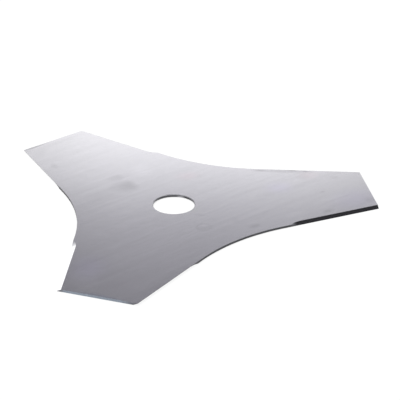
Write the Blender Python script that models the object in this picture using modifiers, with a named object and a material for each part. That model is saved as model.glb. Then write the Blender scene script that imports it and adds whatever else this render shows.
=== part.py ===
"""A three-arm brush cutter blade, cut from one steel sheet.

Units are metres and +Z is up. The origin is the centre of the arbor hole at
half the sheet's thickness, and the first arm points along +X. Each arm has two
straight flanks that are ground to cutting edges. Seen from above, the clockwise
flank is ground from the top face and the other from the underside, so the
blade looks the same turned over and can be used either way up.
"""

import math

import bmesh
import bpy
from mathutils import Matrix, Vector

# Driving dimensions of the sheet
ARM_COUNT = 3
TIP_CIRCLE_DIAMETER = 0.250
TIP_WIDTH = 0.0493
FLANK_TAPER = math.radians(14.0)
HOLLOW_RADIUS = 0.115
SHEET_THICKNESS = 0.0014

# Driving dimensions of the arbor hole
ARBOR_HOLE_DIAMETER = 0.0254
HOLE_EDGE_BREAK = 0.00035

# Driving dimensions of the ground edges
BEVEL_WIDTH = 0.0026
BEVEL_LENGTH = 0.0518
EDGE_LAND = 0.00015
GRINDING_WHEEL_DIAMETER = 0.060

# How finely the round stretches are divided
HOLLOW_SEGMENTS = 60
HOLE_SEGMENTS = 128
RUN_OUT_SEGMENTS = 16

# How far a cutter reaches past the material that it cuts
CUTTER_OVERRUN = 0.002
WELD_DISTANCE = 0.000001
FLAT_ANGLE = math.radians(0.05)
SHARP_EDGE_ANGLE = math.radians(20.0)

STEEL_COLOUR = (0.60, 0.61, 0.65, 1.0)
STEEL_ROUGHNESS = 0.35

HALF_THICKNESS = SHEET_THICKNESS / 2
HALF_TIP_WIDTH = TIP_WIDTH / 2
TIP_DISTANCE = math.sqrt((TIP_CIRCLE_DIAMETER / 2) ** 2 - HALF_TIP_WIDTH ** 2)
FLANK_NORMAL = Vector((math.sin(FLANK_TAPER), math.cos(FLANK_TAPER)))


def clear_scene():
    for old_object in list(bpy.data.objects):
        bpy.data.objects.remove(old_object, do_unlink=True)


def new_collection(name):
    collection = bpy.data.collections.new(name)
    bpy.context.scene.collection.children.link(collection)
    return collection


def steel():
    material = bpy.data.materials.new("steel")
    material.use_nodes = True
    shader = material.node_tree.nodes["Principled BSDF"]
    shader.inputs["Base Color"].default_value = STEEL_COLOUR
    shader.inputs["Metallic"].default_value = 1.0
    shader.inputs["Roughness"].default_value = STEEL_ROUGHNESS
    return material


def arc_points(centre, radius, start_angle, end_angle, segments):
    """Points along an arc, with both of its ends."""
    points = []
    for step in range(segments + 1):
        angle = start_angle + (end_angle - start_angle) * step / segments
        points.append(centre + radius * Vector((math.cos(angle), math.sin(angle))))
    return points


def arm_outline():
    """The first arm's square tip, and the hollow that joins it to the next arm.

    The hollow is an arc that the flanks of both arms touch as tangents, so the
    straight flank is the line from the tip's corner to the arc's first point.
    """
    tip_start = Vector((TIP_DISTANCE, -HALF_TIP_WIDTH))
    tip_end = Vector((TIP_DISTANCE, HALF_TIP_WIDTH))
    half_pitch = math.pi / ARM_COUNT
    flank_distance = FLANK_NORMAL.dot(tip_end)
    centre_distance = (HOLLOW_RADIUS + flank_distance) / math.sin(FLANK_TAPER + half_pitch)
    centre = centre_distance * Vector((math.cos(half_pitch), math.sin(half_pitch)))
    half_span = math.pi / 2 - half_pitch - FLANK_TAPER
    middle = math.pi + half_pitch
    hollow = arc_points(centre, HOLLOW_RADIUS, middle + half_span, middle - half_span, HOLLOW_SEGMENTS)
    return [tip_start, tip_end] + hollow


def sheet_outline():
    """The whole outline, counter-clockwise from above: each arm is the first one turned."""
    points = []
    for arm in range(ARM_COUNT):
        turn = Matrix.Rotation(2 * math.pi * arm / ARM_COUNT, 2)
        points.extend(turn @ point for point in arm_outline())
    return points


def extruded_mesh(name, points, thickness):
    """A closed mesh: a flat outline in the XY plane, half the thickness above and below it."""
    curve = bpy.data.curves.new(name, "CURVE")
    curve.dimensions = "2D"
    curve.fill_mode = "BOTH"
    curve.extrude = thickness / 2
    spline = curve.splines.new("POLY")
    spline.points.add(len(points) - 1)
    for spline_point, point in zip(spline.points, points):
        spline_point.co = (point.x, point.y, 0.0, 1.0)
    spline.use_cyclic_u = True
    outline = bpy.data.objects.new(name, curve)
    bpy.context.scene.collection.objects.link(outline)
    evaluated = outline.evaluated_get(bpy.context.evaluated_depsgraph_get())
    mesh = bpy.data.meshes.new_from_object(evaluated)
    bpy.data.objects.remove(outline, do_unlink=True)
    weld(mesh)
    return mesh


def weld(mesh):
    """Joins a filled curve's loose caps to its wall, and makes each flat cap one face."""
    body = bmesh.new()
    body.from_mesh(mesh)
    bmesh.ops.remove_doubles(body, verts=body.verts, dist=WELD_DISTANCE)
    bmesh.ops.dissolve_limit(body, angle_limit=FLAT_ANGLE, verts=body.verts, edges=body.edges)
    bmesh.ops.recalc_face_normals(body, faces=body.faces)
    body.to_mesh(mesh)
    body.free()


def blade_blank(collection):
    """The sheet as it is cut out, before its hole and its edges."""
    mesh = extruded_mesh("blade", sheet_outline(), SHEET_THICKNESS)
    mesh.shade_smooth()
    mesh.set_sharp_from_angle(angle=SHARP_EDGE_ANGLE)
    mesh.materials.clear()
    mesh.materials.append(steel())
    blank = bpy.data.objects.new("blade", mesh)
    collection.objects.link(blank)
    return blank


def place_cutter(name, mesh, placement, collection):
    cutter = bpy.data.objects.new(name, mesh)
    cutter.matrix_world = placement
    cutter.display_type = "WIRE"
    cutter.hide_render = True
    collection.objects.link(cutter)
    return cutter


def arbor_hole_cutter(collection):
    """A turned cutter: the hole's wall, with a 45 degree cone that breaks each rim."""
    hole_radius = ARBOR_HOLE_DIAMETER / 2
    top = HALF_THICKNESS + CUTTER_OVERRUN
    rim_radius = hole_radius + HOLE_EDGE_BREAK + CUTTER_OVERRUN
    wall_top = HALF_THICKNESS - HOLE_EDGE_BREAK
    profile = [
        (0.0, 0.0, top),
        (rim_radius, 0.0, top),
        (hole_radius, 0.0, wall_top),
        (hole_radius, 0.0, -wall_top),
        (rim_radius, 0.0, -top),
        (0.0, 0.0, -top),
    ]
    edges = [(index, index + 1) for index in range(len(profile) - 1)]
    mesh = bpy.data.meshes.new("arbor_hole_cut")
    mesh.from_pydata(profile, edges, [])
    cutter = place_cutter("arbor_hole_cut", mesh, Matrix.Identity(4), collection)
    screw = cutter.modifiers.new("turn", "SCREW")
    screw.axis = "Z"
    screw.steps = HOLE_SEGMENTS
    screw.render_steps = HOLE_SEGMENTS
    screw.use_merge_vertices = True
    screw.merge_threshold = WELD_DISTANCE
    return cutter


def wheel_pass_mesh():
    """What a grinding wheel sweeps along one flank, as a block on the bevel's plane.

    X runs along the flank from the tip's corner towards the hollow, and Y points
    away from the steel. The pass starts beyond the tip, is straight for the
    bevel's length, and then leaves the steel along the wheel's own rim.
    """
    wheel_radius = GRINDING_WHEEL_DIAMETER / 2
    height = SHEET_THICKNESS + CUTTER_OVERRUN
    lift_angle = math.acos(1 - height / wheel_radius)
    wheel_centre = Vector((BEVEL_LENGTH, wheel_radius))
    bottom = -math.pi / 2
    run_out = arc_points(wheel_centre, wheel_radius, bottom, bottom + lift_angle, RUN_OUT_SEGMENTS)
    start = -BEVEL_WIDTH * math.tan(FLANK_TAPER) - CUTTER_OVERRUN
    outline = [Vector((start, height)), Vector((start, 0.0))] + run_out
    reach = math.hypot(BEVEL_WIDTH, SHEET_THICKNESS) + CUTTER_OVERRUN
    return extruded_mesh("wheel_pass", outline, 2 * reach)


def underside_bevel_placement():
    """Sets a wheel pass on the underside of the first arm's counter-clockwise flank.

    The bevel's plane holds the cutting edge, a land below the top face on the
    outline, and reaches the underside one bevel width inside the outline.
    """
    outwards = FLANK_NORMAL.to_3d()
    up = Vector((0.0, 0.0, 1.0))
    slope = math.atan2(SHEET_THICKNESS - EDGE_LAND, BEVEL_WIDTH)
    along_flank = up.cross(outwards)
    away_from_steel = math.sin(slope) * outwards - math.cos(slope) * up
    across = along_flank.cross(away_from_steel)
    turn = Matrix((along_flank, away_from_steel, across)).transposed().to_4x4()
    cutting_edge = Vector((TIP_DISTANCE, HALF_TIP_WIDTH, HALF_THICKNESS - EDGE_LAND))
    return Matrix.Translation(cutting_edge) @ turn


def bevel_cutters(collection):
    """Two wheel passes for each arm; turning the sheet over brings the top one to the underside."""
    mesh = wheel_pass_mesh()
    underside = underside_bevel_placement()
    turned_over = Matrix.Rotation(math.pi, 4, "X") @ underside
    cutters = []
    for arm in range(ARM_COUNT):
        turn = Matrix.Rotation(2 * math.pi * arm / ARM_COUNT, 4, "Z")
        name = f"arm_{arm + 1}"
        cutters.append(place_cutter(name + "_underside_grind", mesh, turn @ underside, collection))
        cutters.append(place_cutter(name + "_top_grind", mesh, turn @ turned_over, collection))
    return cutters


def cut(body, cutter):
    modifier = body.modifiers.new(cutter.name, "BOOLEAN")
    modifier.operation = "DIFFERENCE"
    modifier.solver = "EXACT"
    modifier.object = cutter


def main():
    clear_scene()
    parts = new_collection("brush_cutter_blade")
    cutters = new_collection("cutters")
    blade = blade_blank(parts)
    cut(blade, arbor_hole_cutter(cutters))
    for cutter in bevel_cutters(cutters):
        cut(blade, cutter)


main()
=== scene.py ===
"""The looks of the brush cutter blade: a satin steel sheet on a pale studio floor.

Lengths are in metres, in the frame that the blade is modelled in. The blade lies
flat round the origin with its top face up and one arm along +X. The studio is
white. A small tent of light that only mirror reflections show gives the steel
its shading: bright low down, most of all behind the blade, dim halfway up and
grey overhead.
"""

import math

import bmesh
import bpy
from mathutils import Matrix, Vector


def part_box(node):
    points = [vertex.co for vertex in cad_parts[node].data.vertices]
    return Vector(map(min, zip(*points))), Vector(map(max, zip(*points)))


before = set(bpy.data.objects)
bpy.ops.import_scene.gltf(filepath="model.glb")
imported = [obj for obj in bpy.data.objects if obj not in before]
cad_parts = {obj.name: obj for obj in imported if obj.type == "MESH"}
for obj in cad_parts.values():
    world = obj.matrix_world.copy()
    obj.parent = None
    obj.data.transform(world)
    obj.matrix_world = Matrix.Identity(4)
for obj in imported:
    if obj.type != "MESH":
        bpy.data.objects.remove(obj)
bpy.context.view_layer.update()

MM = 0.001
MICRON = 0.000001
QUARTER_TURN_DEGREES = 90.0
HALF_TURN_DEGREES = 180.0

# The blade, as the frame has it
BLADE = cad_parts["blade"]
BLADE_LOW, BLADE_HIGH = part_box("blade")
TIP_DISTANCE = BLADE_HIGH.x
TOP_FACE = BLADE_HIGH.z
HALF_ARM_PITCH = math.radians(60.0)
HOLE_RADIUS = 0.0127
HOLE_EDGE_BREAK = 0.00035

# Nearer to the axis than this is the hole's wall, and further out than these is a tip's wall
HOLE_REACH = HOLE_RADIUS + 1 * MM
TIP_REACH = (TIP_DISTANCE - 1 * MM, TIP_DISTANCE - 0.5 * MM)

# The photograph's camera, fitted to the blade's edges
CAMERA_AZIMUTH = math.radians(-9.94)
CAMERA_ELEVATION = math.radians(26.48)
CAMERA_DISTANCE = 1.2898
CAMERA_AIM = Vector((0.0170, 0.0046, 0.0))
CAMERA_LENS_MM = 189.0
CAMERA_SENSOR_MM = 36.0
CAMERA_CLIP = (0.05, 20.0)

# The studio
WHITE = (1.0, 1.0, 1.0, 1.0)
FLOOR_SIZE = 12.0
FLOOR_GAP = 0.00005
FLOOR_COLOUR = (0.25, 0.25, 0.25, 1.0)
FLOOR_GLOW = 0.79
WORLD_LIGHT = 0.78
LAMP_PLACE = Vector((-0.9, 0.7, 1.6))
LAMP_SIZE = 0.9
LAMP_POWER = 14.0

# The light tent: its brightness at each height, in degrees above the floor
TENT_RADIUS = 0.45
TENT_SEGMENTS = 96
TENT_BRIGHTNESS = [
    (0.0, 1.700),
    (14.0, 1.700),
    (18.6, 1.484),
    (20.0, 1.443),
    (21.5, 1.382),
    (23.2, 1.116),
    (24.7, 0.868),
    (26.3, 0.688),
    (27.8, 0.555),
    (29.5, 0.452),
    (31.2, 0.422),
    (33.0, 0.405),
    (35.0, 0.373),
    (38.0, 0.262),
    (44.0, 0.240),
    (60.0, 0.360),
    (72.0, 0.620),
    (90.0, 0.750),
]
TENT_PEAK = max(level for _, level in TENT_BRIGHTNESS)
TENT_TINT_LOW = WHITE
TENT_TINT_HIGH = (0.994, 0.985, 1.072, 1.0)
TENT_TINT_HEIGHTS = (17.0, 33.0)

# The tent has lit panels, with dimmer seams between them that fade in above its foot. Directions
# are in degrees from +X towards +Y.
PANEL_COUNT = 6
PANEL_DIRECTION = 78.0
PANEL_EDGE = 6.0
SEAM_LEVEL = 0.53
SEAM_HEIGHTS = (14.0, 18.0)

# The foot is at full brightness behind the blade, and dimmer all round the rest
BACK_DIRECTION = 78.0
BACK_EDGES = (32.0, 62.0)
FOOT_LEVEL = 0.50
FOOT_HEIGHTS = (32.0, 20.0)

# A dark flag hangs high up in the tent, on the +X side
FLAG_PLACE = (0.22, 0.076, 0.385)
FLAG_INNER, FLAG_OUTER = 0.08, 0.16
FLAG_LEVEL = 0.10

# Steel, by the kind of surface
SHEET_COLOUR = (0.636, 0.629, 0.656)
SHEET_ROUGHNESS = 0.20
GROUND_COLOUR = (0.72, 0.72, 0.74)
GROUND_ROUGHNESS = 0.16
CUT_COLOUR = (0.092, 0.092, 0.099, 1.0)
CUT_ROUGHNESS = 0.50
RIM_COLOUR = (0.30, 0.30, 0.31, 1.0)

# A tip's wall is painted lighter and bluish, a painted reflection, apart from its two ends: where
# the blue fades in, and where it fades out, counted to the left from the arm's middle
TIP_PAINTED_REFLECTION = (0.293, 0.330, 0.388, 1.0)
TIP_END_PAINTED_REFLECTION = (0.185, 0.185, 0.205, 1.0)
BLUE_START = (-0.023, -0.019)
BLUE_END = (0.023, 0.014)

# Painted highlights on the hole's wall, brighter stretches where it reflects light: place and
# half width
PAINTED_GLINT_COLOUR = (0.44, 0.44, 0.46, 1.0)
PAINTED_GLINTS = [
    (0.0062, 0.0111, 0.0036),
    (-0.0125, 0.0022, 0.0120),
    (0.0125, -0.0022, 0.0105),
]

# How upright a face's normal is tells its kind: the sheet is above the first, the cut walls are
# below the second, and the ground bevels lie between them
FLAT_NORMAL = 0.97
CUT_NORMAL = 0.5

# Noise goes from 0 to 1 about its middle, with this much fine detail
NOISE_MIDDLE = 0.5
NOISE_DETAIL = 2.0

# Fine lines on the ground bevels, and cutting marks that run down the walls: the size of a cell,
# the depth and the strength
GRINDING_CELLS = (0.030, 0.030, 0.00008)
GRINDING_DEPTH = 1.2 * MICRON
GRINDING_STRENGTH = 0.10
CUTTING_CELLS = (0.0006, 0.0006, 0.004)
CUTTING_DEPTH = 8 * MICRON
CUTTING_STRENGTH = 0.35

# Rolling lines: their direction, and for each layer the length, the spacing and the strength
ROLLING_ANGLE = math.radians(30.0)
ROLLING_LINES = [
    (0.060, 0.00045, 0.042),
    (0.120, 0.0018, 0.022),
    (0.200, 0.0060, 0.050),
]
LINE_DETAIL = 3.0
LINE_DEPTH = 0.6 * MICRON
ROUGHNESS_SWING = 0.06

# Cloudy mottling, drawn out along the rolling direction: the size of its cells and its strength
MOTTLES = [(0.0060, 0.022), (0.0016, 0.040)]
MOTTLE_STRETCH = 2

# Patches on the top face end this far off it, so that they stay off the underside
PATCH_DEPTH = 1 * MM

# Stains and cloudy patches, partly real stains and partly painted shade, the broad shading of the
# steel's reflection: place, half length, half width, direction in degrees, change of brightness,
# softness of the edge, and how many times further the patch reaches backwards
STAINS_AND_PAINTED_SHADE = [
    (-0.0230, 0.0310, 0.0070, 0.0110, 20, -0.200, 1.00, 2.5),
    (-0.0280, 0.0440, 0.0050, 0.0060, 20, -0.100, 1.00, 2.5),
    (-0.0420, 0.0200, 0.0160, 0.0100, 40, -0.060, 1.00, 1.0),
    (-0.0120, 0.0500, 0.0120, 0.0120, 60, +0.060, 1.00, 1.0),
    (-0.0650, -0.0850, 0.0280, 0.0140, 75, +0.070, 1.00, 1.0),
    (-0.0150, -0.0920, 0.0400, 0.0080, 45, -0.060, 1.00, 1.0),
    (-0.0660, 0.0670, 0.0055, 0.0035, 90, -0.090, 0.80, 1.0),
    (-0.0720, 0.0880, 0.0090, 0.0050, 60, -0.050, 1.00, 1.0),
    (0.0860, 0.0240, 0.0070, 0.0060, 30, -0.070, 1.00, 1.0),
    (0.1050, 0.0200, 0.0050, 0.0040, 10, -0.070, 0.90, 1.0),
    (0.0930, 0.0010, 0.0025, 0.0020, 30, -0.090, 0.90, 1.0),
    (0.0910, -0.0250, 0.0060, 0.0030, 30, -0.120, 0.90, 1.0),
    (0.0430, -0.0370, 0.0060, 0.0035, 30, -0.130, 0.90, 1.0),
    (0.0330, -0.0280, 0.0060, 0.0040, 90, -0.040, 1.00, 1.0),
    (0.0140, -0.0170, 0.0060, 0.0020, -20, -0.080, 1.00, 1.0),
    (0.0120, -0.0340, 0.0070, 0.0060, 0, -0.040, 0.90, 1.0),
    (0.0590, 0.0040, 0.0120, 0.0040, 20, -0.030, 1.00, 1.0),
    (0.0980, -0.0070, 0.0220, 0.0040, 30, +0.050, 1.00, 1.0),
    (0.0700, -0.0260, 0.0120, 0.0050, 30, +0.050, 1.00, 1.0),
    (0.0740, 0.0340, 0.0260, 0.0030, -14, -0.140, 1.00, 1.0),
    (0.1190, -0.0140, 0.0050, 0.0070, 0, -0.080, 1.00, 1.0),
    (0.0220, 0.0360, 0.0040, 0.0040, 0, -0.030, 1.00, 1.0),
    (-0.0700, 0.0450, 0.0300, 0.0080, 105, -0.030, 1.00, 1.0),
    (-0.0560, 0.0060, 0.0260, 0.0450, 10, -0.028, 1.00, 1.0),
    # A dark ring on the top face round the hole's rim, wider at the back: painted shade at the
    # hole's edge
    (0.0001, 0.0007, 0.0132, 0.0138, -10, -0.450, 0.07, 1.0),
]
PATCH_WOBBLE = 0.0015
PATCH_WOBBLE_SIZE = 0.006

# Small marks and scratches, and painted shade and highlight along edges: place, half length, half
# width, direction and change of brightness
MARKS_AND_EDGE_SHADE = [
    # The first nine rows are dark and light lines by the tips' edges and the +X arm's back edge:
    # painted shade and highlight of those edges
    (-0.0759, 0.0970, 0.0135, 0.0026, 30, -0.29),
    (-0.0730, 0.0965, 0.0100, 0.0012, 30, +0.05),
    (-0.0520, 0.1070, 0.0080, 0.0008, 30, -0.05),
    (-0.0607, -0.1051, 0.0220, 0.0008, -30, -0.17),
    (0.0880, 0.0316, 0.0100, 0.0010, -14, -0.16),
    (0.0612, 0.0379, 0.0062, 0.0016, -14, -0.22),
    (0.0735, 0.0363, 0.0180, 0.0014, -14, -0.13),
    (0.0814, 0.0341, 0.0044, 0.0016, -14, -0.28),
    (0.0893, 0.0316, 0.0030, 0.0017, -14, -0.19),
    (0.0132, -0.0310, 0.0034, 0.0024, 0, +0.06),
    (-0.0415, -0.0819, 0.0026, 0.0009, 30, -0.10),
    (-0.0351, -0.0793, 0.0044, 0.0010, 30, -0.08),
    (-0.0263, -0.0735, 0.0036, 0.0009, 30, -0.06),
    (-0.0090, -0.0627, 0.0060, 0.0009, 30, -0.06),
]

# Patches with a cast: place, half length, half width, direction and colour
VIOLET_CAST = (0.99, 0.98, 1.045)
PINK_CAST = (1.03, 0.985, 0.99)
BLUE_SHEEN_CAST = (0.95, 1.0, 1.07)
GREEN_CAST = (0.985, 1.005, 0.96)
CASTS = [
    (-0.0620, -0.0720, 0.0230, 0.0170, 75.0, VIOLET_CAST),
    (0.1120, -0.0120, 0.0260, 0.0200, 30.0, VIOLET_CAST),
    (0.0680, 0.0120, 0.0130, 0.0120, 0.0, VIOLET_CAST),
    (0.0150, 0.0380, 0.0120, 0.0090, 20.0, PINK_CAST),
    (0.0900, 0.0260, 0.0100, 0.0090, 0.0, PINK_CAST),
    # A bluish band along the tip edge at 240 degrees: painted sheen
    (-0.0607, -0.1054, 0.0230, 0.0022, -30.0, BLUE_SHEEN_CAST),
    (0.0115, -0.0085, 0.0055, 0.0035, 40.0, GREEN_CAST),
]

# A faint ring, as a wet washer leaves
RING_PLACE = (0.0129, -0.0331)
RING_RADIUS = 0.0043
RING_WIDTH = 0.0015
RING_CHANGE = -0.055


class Nodes:
    """Adds nodes to a tree. An input is given as a number, a colour or another node's output."""

    def __init__(self, tree):
        self.tree = tree
        tree.nodes.clear()

    def add(self, kind, inputs=None, **settings):
        node = self.tree.nodes.new("ShaderNode" + kind)
        for name, value in settings.items():
            setattr(node, name, value)
        for name, value in (inputs or {}).items():
            self.feed(node.inputs[name], value)
        return node

    def feed(self, socket, value):
        if isinstance(value, bpy.types.NodeSocket):
            self.tree.links.new(value, socket)
        else:
            socket.default_value = value

    def maths(self, operation, *values):
        node = self.add("Math", operation=operation)
        for socket, value in zip(node.inputs, values):
            self.feed(socket, value)
        return node.outputs["Value"]

    def vectors(self, operation, *values, output="Vector"):
        node = self.add("VectorMath", operation=operation)
        for socket, value in zip(node.inputs, values):
            self.feed(socket, value)
        return node.outputs[output]

    def parts(self, vector):
        """A vector's X, Y and Z."""
        return self.add("SeparateXYZ", {"Vector": vector}).outputs

    def product(self, first, *others):
        for other in others:
            first = self.maths("MULTIPLY", first, other)
        return first

    def smooth_step(self, value, start, end, before=0.0, after=1.0):
        """Goes from one number to the other as the value goes from start to end, up or down."""
        inputs = {
            "Value": value,
            "From Min": start,
            "From Max": end,
            "To Min": before,
            "To Max": after,
        }
        node = self.add("MapRange", inputs, interpolation_type="SMOOTHSTEP", clamp=False)
        return node.outputs["Result"]

    def between(self, factor, first, second):
        """A number that goes from the first to the second as the factor goes from 0 to 1."""
        inputs = {"Value": factor, "To Min": first, "To Max": second}
        return self.add("MapRange", inputs, clamp=False).outputs["Result"]

    def blend(self, factor, first, second):
        """A colour that goes from the first to the second as the factor goes from 0 to 1."""
        node = self.add("Mix", data_type="RGBA")
        sockets = [socket for socket in node.inputs if socket.enabled]
        for socket, value in zip(sockets, (factor, first, second)):
            self.feed(socket, value)
        return next(socket for socket in node.outputs if socket.enabled)

    def shaded(self, colour, shade):
        """A colour made darker or lighter."""
        node = self.add("VectorMath", {"Scale": shade}, operation="SCALE")
        self.feed(node.inputs[0], colour)
        return node.outputs["Vector"]

    def ramp(self, value, stops):
        """A level from 0 to 1, from levels at places from 0 to 1."""
        node = self.add("ValToRGB", {"Fac": value})
        elements = node.color_ramp.elements
        while len(elements) < len(stops):
            elements.new(1.0)
        for element, (place, level) in zip(elements, stops):
            element.position = place
            element.color = (level, level, level, 1.0)
        return self.parts(node.outputs["Color"])["X"]

    def cells(self, vector, size, angle=0.0):
        """Coordinates counted in steps of a size, and turned by an angle about Z."""
        inputs = {"Vector": vector, "Rotation": (0.0, 0.0, angle), "Scale": size}
        return self.add("Mapping", inputs, vector_type="TEXTURE").outputs["Vector"]

    def noise(self, vector, detail=NOISE_DETAIL, output="Fac"):
        """Noise with cells about one unit long."""
        inputs = {"Vector": vector, "Scale": 1.0, "Detail": detail}
        return self.add("TexNoise", inputs).outputs[output]

    def centred_noise(self, vector, detail=NOISE_DETAIL):
        """Noise from -0.5 to 0.5."""
        return self.maths("SUBTRACT", self.noise(vector, detail), NOISE_MIDDLE)

    def shade_from(self, centred_noise, strength):
        """A shade of 1, less and more by a strength."""
        return self.maths("MULTIPLY_ADD", centred_noise, 2 * strength, 1.0)


def new_material(name):
    material = bpy.data.materials.new(name)
    material.use_nodes = True
    return material, Nodes(material.node_tree)


def new_object(name, data):
    made = bpy.data.objects.new(name, data)
    bpy.context.scene.collection.objects.link(made)
    return made


def new_mesh(name, body, material):
    """A mesh from a bmesh, which is freed."""
    mesh = bpy.data.meshes.new(name)
    body.to_mesh(mesh)
    body.free()
    mesh.materials.append(material)
    return mesh


def seen_directly_or_mirrored(nodes):
    """1 for what the camera sees, also in metal, and 0 for what lights the object."""
    path = nodes.add("LightPath")
    seen = nodes.maths("MAXIMUM", path.outputs["Is Camera Ray"], path.outputs["Is Glossy Ray"])
    return nodes.maths("MAXIMUM", seen, path.outputs["Is Transmission Ray"])


def floor_material():
    """Pale and plain, with a glow of its own so that it reads white away from the shadow."""
    material, nodes = new_material("studio_floor")
    diffuse = nodes.add("BsdfDiffuse", {"Color": FLOOR_COLOUR})
    glow = nodes.product(seen_directly_or_mirrored(nodes), FLOOR_GLOW)
    emission = nodes.add("Emission", {"Color": WHITE, "Strength": glow})
    both = nodes.add("AddShader", {0: diffuse.outputs["BSDF"], 1: emission.outputs["Emission"]})
    nodes.add("OutputMaterial", {"Surface": both.outputs["Shader"]})
    return material


def make_floor():
    body = bmesh.new()
    bmesh.ops.create_grid(body, x_segments=1, y_segments=1, size=FLOOR_SIZE / 2)
    floor = new_object("floor", new_mesh("floor", body, floor_material()))
    floor.location.z = BLADE_LOW.z - FLOOR_GAP


def make_world():
    """White where it is seen, and at a plain level where it lights the object."""
    world = bpy.data.worlds.new("studio")
    bpy.context.scene.world = world
    world.use_nodes = True
    nodes = Nodes(world.node_tree)
    strength = nodes.between(seen_directly_or_mirrored(nodes), WORLD_LIGHT, 1.0)
    background = nodes.add("Background", {"Color": WHITE, "Strength": strength})
    nodes.add("OutputWorld", {"Surface": background.outputs["Background"]})


def make_lamp():
    """A soft lamp behind and to the left, which gives the blade its shadow."""
    light = bpy.data.lights.new("soft_lamp", "AREA")
    light.shape = "DISK"
    light.size = LAMP_SIZE
    light.energy = LAMP_POWER
    lamp = new_object("soft_lamp", light)
    lamp.location = LAMP_PLACE
    lamp.rotation_mode = "QUATERNION"
    lamp.rotation_quaternion = (-LAMP_PLACE).to_track_quat("-Z", "Y")
    lamp.visible_glossy = False


def tent_by_height(nodes, height):
    """The tent's brightness at a height, as a share of its brightest."""
    share = nodes.maths("DIVIDE", height, QUARTER_TURN_DEGREES)
    stops = [(at / QUARTER_TURN_DEGREES, level / TENT_PEAK) for at, level in TENT_BRIGHTNESS]
    return nodes.ramp(share, stops)


def tent_by_panel(nodes, height, direction):
    """1 on the panels and at the foot, and less on the seams."""
    half_pitch = HALF_TURN_DEGREES / PANEL_COUNT
    turned = nodes.maths("SUBTRACT", direction, PANEL_DIRECTION)
    from_panel = nodes.maths("PINGPONG", turned, half_pitch)
    seam = nodes.smooth_step(from_panel, PANEL_EDGE, half_pitch)
    seam_here = nodes.product(seam, nodes.smooth_step(height, *SEAM_HEIGHTS))
    return nodes.between(seam_here, 1.0, SEAM_LEVEL)


def tent_by_side(nodes, height, direction):
    """1 behind the blade and above the foot, and less at the foot all round the rest."""
    turned = nodes.maths("SUBTRACT", direction, BACK_DIRECTION)
    from_back = nodes.maths("PINGPONG", turned, HALF_TURN_DEGREES)
    beside = nodes.smooth_step(from_back, *BACK_EDGES)
    foot_here = nodes.product(beside, nodes.smooth_step(height, *FOOT_HEIGHTS))
    return nodes.between(foot_here, 1.0, FOOT_LEVEL)


def tent_by_flag(nodes, place):
    """1 clear of the flag, and less on it."""
    from_flag = nodes.vectors("DISTANCE", place, FLAG_PLACE, output="Value")
    clear = nodes.smooth_step(from_flag, FLAG_INNER, FLAG_OUTER)
    return nodes.between(clear, FLAG_LEVEL, 1.0)


def tent_material():
    """A glow that goes by height, with seams, a dimmer foot at the sides and a dark flag."""
    material, nodes = new_material("light_tent")
    place = nodes.add("NewGeometry").outputs["Position"]
    x, y, z = nodes.parts(place)
    steepness = nodes.maths("ARCSINE", nodes.maths("DIVIDE", z, TENT_RADIUS))
    height = nodes.maths("DEGREES", steepness)
    direction = nodes.maths("DEGREES", nodes.maths("ARCTAN2", y, x))
    strength = nodes.product(
        tent_by_height(nodes, height),
        tent_by_panel(nodes, height, direction),
        tent_by_flag(nodes, place),
        tent_by_side(nodes, height, direction),
        TENT_PEAK,
    )
    higher = nodes.smooth_step(height, *TENT_TINT_HEIGHTS)
    tint = nodes.blend(higher, TENT_TINT_LOW, TENT_TINT_HIGH)
    emission = nodes.add("Emission", {"Color": tint, "Strength": strength})
    nodes.add("OutputMaterial", {"Surface": emission.outputs["Emission"]})
    material.cycles.emission_sampling = "NONE"
    return material


def make_tent():
    """A dome round the blade, which only mirror reflections show."""
    body = bmesh.new()
    bmesh.ops.create_uvsphere(
        body, u_segments=TENT_SEGMENTS, v_segments=TENT_SEGMENTS, radius=TENT_RADIUS
    )
    mesh = new_mesh("light_tent", body, tent_material())
    mesh.shade_smooth()
    tent = new_object("light_tent", mesh)
    tent.visible_camera = False
    tent.visible_diffuse = False
    tent.visible_transmission = False
    tent.visible_shadow = False


def rolling_line_layers(nodes, place):
    """Noise drawn out along the rolling direction, one field for each layer."""
    layers = []
    for length, spacing, _ in ROLLING_LINES:
        cells = nodes.cells(place, (length, spacing, 1.0), ROLLING_ANGLE)
        layers.append(nodes.centred_noise(cells, LINE_DETAIL))
    return layers


def with_lines_and_mottling(nodes, place, layers):
    shade = 1.0
    for layer, (_, _, strength) in zip(layers, ROLLING_LINES):
        shade = nodes.product(shade, nodes.shade_from(layer, strength))
    for size, strength in MOTTLES:
        cells = nodes.cells(place, (MOTTLE_STRETCH * size, size, size), ROLLING_ANGLE)
        mottle = nodes.between(nodes.noise(cells), 1.0 - strength, 1.0 + strength)
        shade = nodes.product(shade, mottle)
    return shade


def uneven_place(nodes, place):
    """The place with a small wobble, so that the patches' edges aren't true ellipses."""
    wobble = nodes.noise(nodes.cells(place, (PATCH_WOBBLE_SIZE,) * 3), output="Color")
    offset = nodes.vectors("SUBTRACT", wobble, (NOISE_MIDDLE,) * 3)
    shift = nodes.vectors("MULTIPLY", offset, (PATCH_WOBBLE, PATCH_WOBBLE, 0.0))
    return nodes.vectors("ADD", place, shift)


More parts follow.
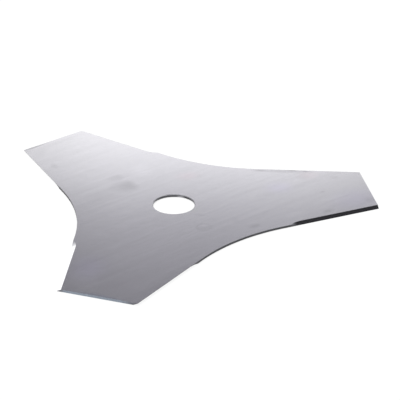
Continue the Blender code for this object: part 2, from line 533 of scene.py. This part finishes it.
def from_patch(nodes, place, centre, half_size, direction, tail=1.0):
    """The distance from a patch's middle: 1 at its edge, and more off the top face."""
    middle = Vector((*centre, TOP_FACE))
    steps = Vector((1.0 / half_size[0], 1.0 / half_size[1], 1.0 / PATCH_DEPTH))
    inputs = {"Vector": place, "Center": middle, "Angle": -math.radians(direction)}
    turned = nodes.add("VectorRotate", inputs, rotation_type="Z_AXIS").outputs["Vector"]
    spot = nodes.vectors("MULTIPLY_ADD", turned, steps, -middle * steps)
    if tail > 1.0:
        drawn_in = nodes.vectors("MULTIPLY", spot, (1.0 / tail, 1.0, 1.0))
        spot = nodes.vectors("MAXIMUM", spot, drawn_in)
    return nodes.vectors("LENGTH", spot, output="Value")


def changed(nodes, shade, distance, outside, inside, change):
    """The shade, made darker or lighter as the distance goes from outside to inside."""
    return nodes.product(shade, nodes.smooth_step(distance, outside, inside, 1.0, 1.0 + change))


def with_stains_marks_and_painted_shade(nodes, shade, place, uneven):
    for x, y, half_length, half_width, direction, change, softness, tail in STAINS_AND_PAINTED_SHADE:
        half_size = (half_length, half_width)
        distance = from_patch(nodes, uneven, (x, y), half_size, direction, tail)
        shade = changed(nodes, shade, distance, 1.0, 1.0 - softness, change)
    for x, y, half_length, half_width, direction, change in MARKS_AND_EDGE_SHADE:
        distance = from_patch(nodes, place, (x, y), (half_length, half_width), direction)
        shade = changed(nodes, shade, distance, 1.0, 0.0, change)
    return shade


def with_ring(nodes, shade, place):
    middle = (*RING_PLACE, TOP_FACE)
    from_middle = nodes.vectors("DISTANCE", place, middle, output="Value")
    off_ring = nodes.maths("ABSOLUTE", nodes.maths("SUBTRACT", from_middle, RING_RADIUS))
    return changed(nodes, shade, off_ring, RING_WIDTH, 0.0, RING_CHANGE)


def with_casts(nodes, colour, place):
    for x, y, half_length, half_width, direction, cast in CASTS:
        distance = from_patch(nodes, place, (x, y), (half_length, half_width), direction)
        cover = nodes.smooth_step(distance, 1.0, 0.0)
        colour = nodes.blend(cover, colour, nodes.vectors("MULTIPLY", colour, cast))
    return colour


def sheet_colour(nodes, place, layers):
    """The rolled sheet's colour, with its lines, stains and marks, and painted shade and
    highlights.
    """
    uneven = uneven_place(nodes, place)
    shade = with_lines_and_mottling(nodes, place, layers)
    shade = with_stains_marks_and_painted_shade(nodes, shade, place, uneven)
    shade = with_ring(nodes, shade, uneven)
    return with_casts(nodes, nodes.shaded(SHEET_COLOUR, shade), uneven)


def arm_coordinates(nodes, flat, radius):
    """On the nearest arm, how far out a place is and how far left of the arm's middle."""
    x, y, _ = nodes.parts(flat)
    turn = nodes.maths("ARCTAN2", y, x)
    direction = nodes.maths("WRAP", turn, HALF_ARM_PITCH, -HALF_ARM_PITCH)
    out = nodes.product(radius, nodes.maths("COSINE", direction))
    aside = nodes.product(radius, nodes.maths("SINE", direction))
    return out, aside


# A tip's wall is painted lighter and bluish: a painted reflection
def with_painted_tip_reflections(nodes, colour, flat, radius):
    out, aside = arm_coordinates(nodes, flat, radius)
    from_start = nodes.smooth_step(aside, *BLUE_START)
    from_end = nodes.smooth_step(aside, *BLUE_END)
    tip_painted_reflection = nodes.blend(nodes.product(from_start, from_end), TIP_END_PAINTED_REFLECTION, TIP_PAINTED_REFLECTION)
    return nodes.blend(nodes.smooth_step(out, *TIP_REACH), colour, tip_painted_reflection)


def with_rim(nodes, colour, place, radius):
    """The hole's upper rim, where its edge is broken."""
    above_wall = nodes.maths("GREATER_THAN", nodes.parts(place)["Z"], TOP_FACE - HOLE_EDGE_BREAK)
    in_hole = nodes.maths("LESS_THAN", radius, HOLE_REACH)
    return nodes.blend(nodes.product(above_wall, in_hole), colour, RIM_COLOUR)


# The hole's wall is painted brighter in stretches: painted highlights
def with_painted_glints(nodes, colour, flat):
    for x, y, half_width in PAINTED_GLINTS:
        from_painted_glint = nodes.vectors("DISTANCE", flat, (x, y, 0.0), output="Value")
        cover = nodes.smooth_step(from_painted_glint, half_width, 0.0)
        colour = nodes.blend(cover, colour, PAINTED_GLINT_COLOUR)
    return colour


def wall_colour(nodes, place, flat, radius, marks):
    """The cut walls: dark in the hollows and the hole, painted lighter and bluish at the tips as
    a painted reflection, and with painted highlights on the hole's wall.
    """
    colour = with_painted_tip_reflections(nodes, CUT_COLOUR, flat, radius)
    colour = with_rim(nodes, colour, place, radius)
    colour = with_painted_glints(nodes, colour, flat)
    return nodes.shaded(colour, nodes.shade_from(marks, CUTTING_STRENGTH))


def kinds_of_surface(nodes, normal, radius):
    """1 on the sheet's faces, and 1 on the cut walls. Where both are 0 is a ground bevel."""
    upright = nodes.maths("ABSOLUTE", nodes.parts(normal)["Z"])
    sheet = nodes.maths("GREATER_THAN", upright, FLAT_NORMAL)
    in_hole = nodes.maths("LESS_THAN", radius, HOLE_REACH)
    cut = nodes.maths("MAXIMUM", nodes.maths("LESS_THAN", upright, CUT_NORMAL), in_hole)
    return sheet, cut


def steel_material():
    """One steel for the whole blade, which tells the sheet, the walls and the bevels apart."""
    material, nodes = new_material("satin_steel")
    coordinates = nodes.add("TexCoord")
    place = coordinates.outputs["Object"]
    flat = nodes.vectors("MULTIPLY", place, (1.0, 1.0, 0.0))
    radius = nodes.vectors("LENGTH", flat, output="Value")
    sheet, cut = kinds_of_surface(nodes, coordinates.outputs["Normal"], radius)
    layers = rolling_line_layers(nodes, place)
    grinding_lines = nodes.centred_noise(nodes.cells(place, GRINDING_CELLS))
    cutting_marks = nodes.centred_noise(nodes.cells(place, CUTTING_CELLS))

    ground = nodes.shaded(GROUND_COLOUR, nodes.shade_from(grinding_lines, GRINDING_STRENGTH))
    walls = wall_colour(nodes, place, flat, radius, cutting_marks)
    colour = nodes.blend(cut, ground, walls)
    colour = nodes.blend(sheet, colour, sheet_colour(nodes, place, layers))

    roughness = nodes.between(cut, GROUND_ROUGHNESS, CUT_ROUGHNESS)
    sheet_roughness = nodes.maths("MULTIPLY_ADD", layers[0], ROUGHNESS_SWING, SHEET_ROUGHNESS)
    roughness = nodes.between(sheet, roughness, sheet_roughness)

    ground_height = nodes.product(grinding_lines, GRINDING_DEPTH)
    height = nodes.between(cut, ground_height, nodes.product(cutting_marks, CUTTING_DEPTH))
    height = nodes.between(sheet, height, nodes.product(layers[0], LINE_DEPTH))
    bump = nodes.add("Bump", {"Height": height, "Distance": 1.0, "Strength": 1.0})

    inputs = {
        "Base Color": colour,
        "Roughness": roughness,
        "Metallic": 1.0,
        "Normal": bump.outputs["Normal"],
    }
    shader = nodes.add("BsdfPrincipled", inputs)
    nodes.add("OutputMaterial", {"Surface": shader.outputs["BSDF"]})
    return material


def make_camera():
    data = bpy.data.cameras.new("camera")
    data.lens = CAMERA_LENS_MM
    data.sensor_width = CAMERA_SENSOR_MM
    data.clip_start, data.clip_end = CAMERA_CLIP
    camera = new_object("camera", data)
    back = Vector((
        math.sin(CAMERA_AZIMUTH) * math.cos(CAMERA_ELEVATION),
        -math.cos(CAMERA_AZIMUTH) * math.cos(CAMERA_ELEVATION),
        math.sin(CAMERA_ELEVATION),
    ))
    camera.location = CAMERA_AIM + back * CAMERA_DISTANCE
    camera.rotation_mode = "QUATERNION"
    camera.rotation_quaternion = (-back).to_track_quat("-Z", "Y")
    bpy.context.scene.camera = camera


make_camera()
make_world()
make_floor()
make_lamp()
make_tent()
BLADE.material_slots[0].material = steel_material()
bpy.context.scene.view_settings.view_transform = "Standard"
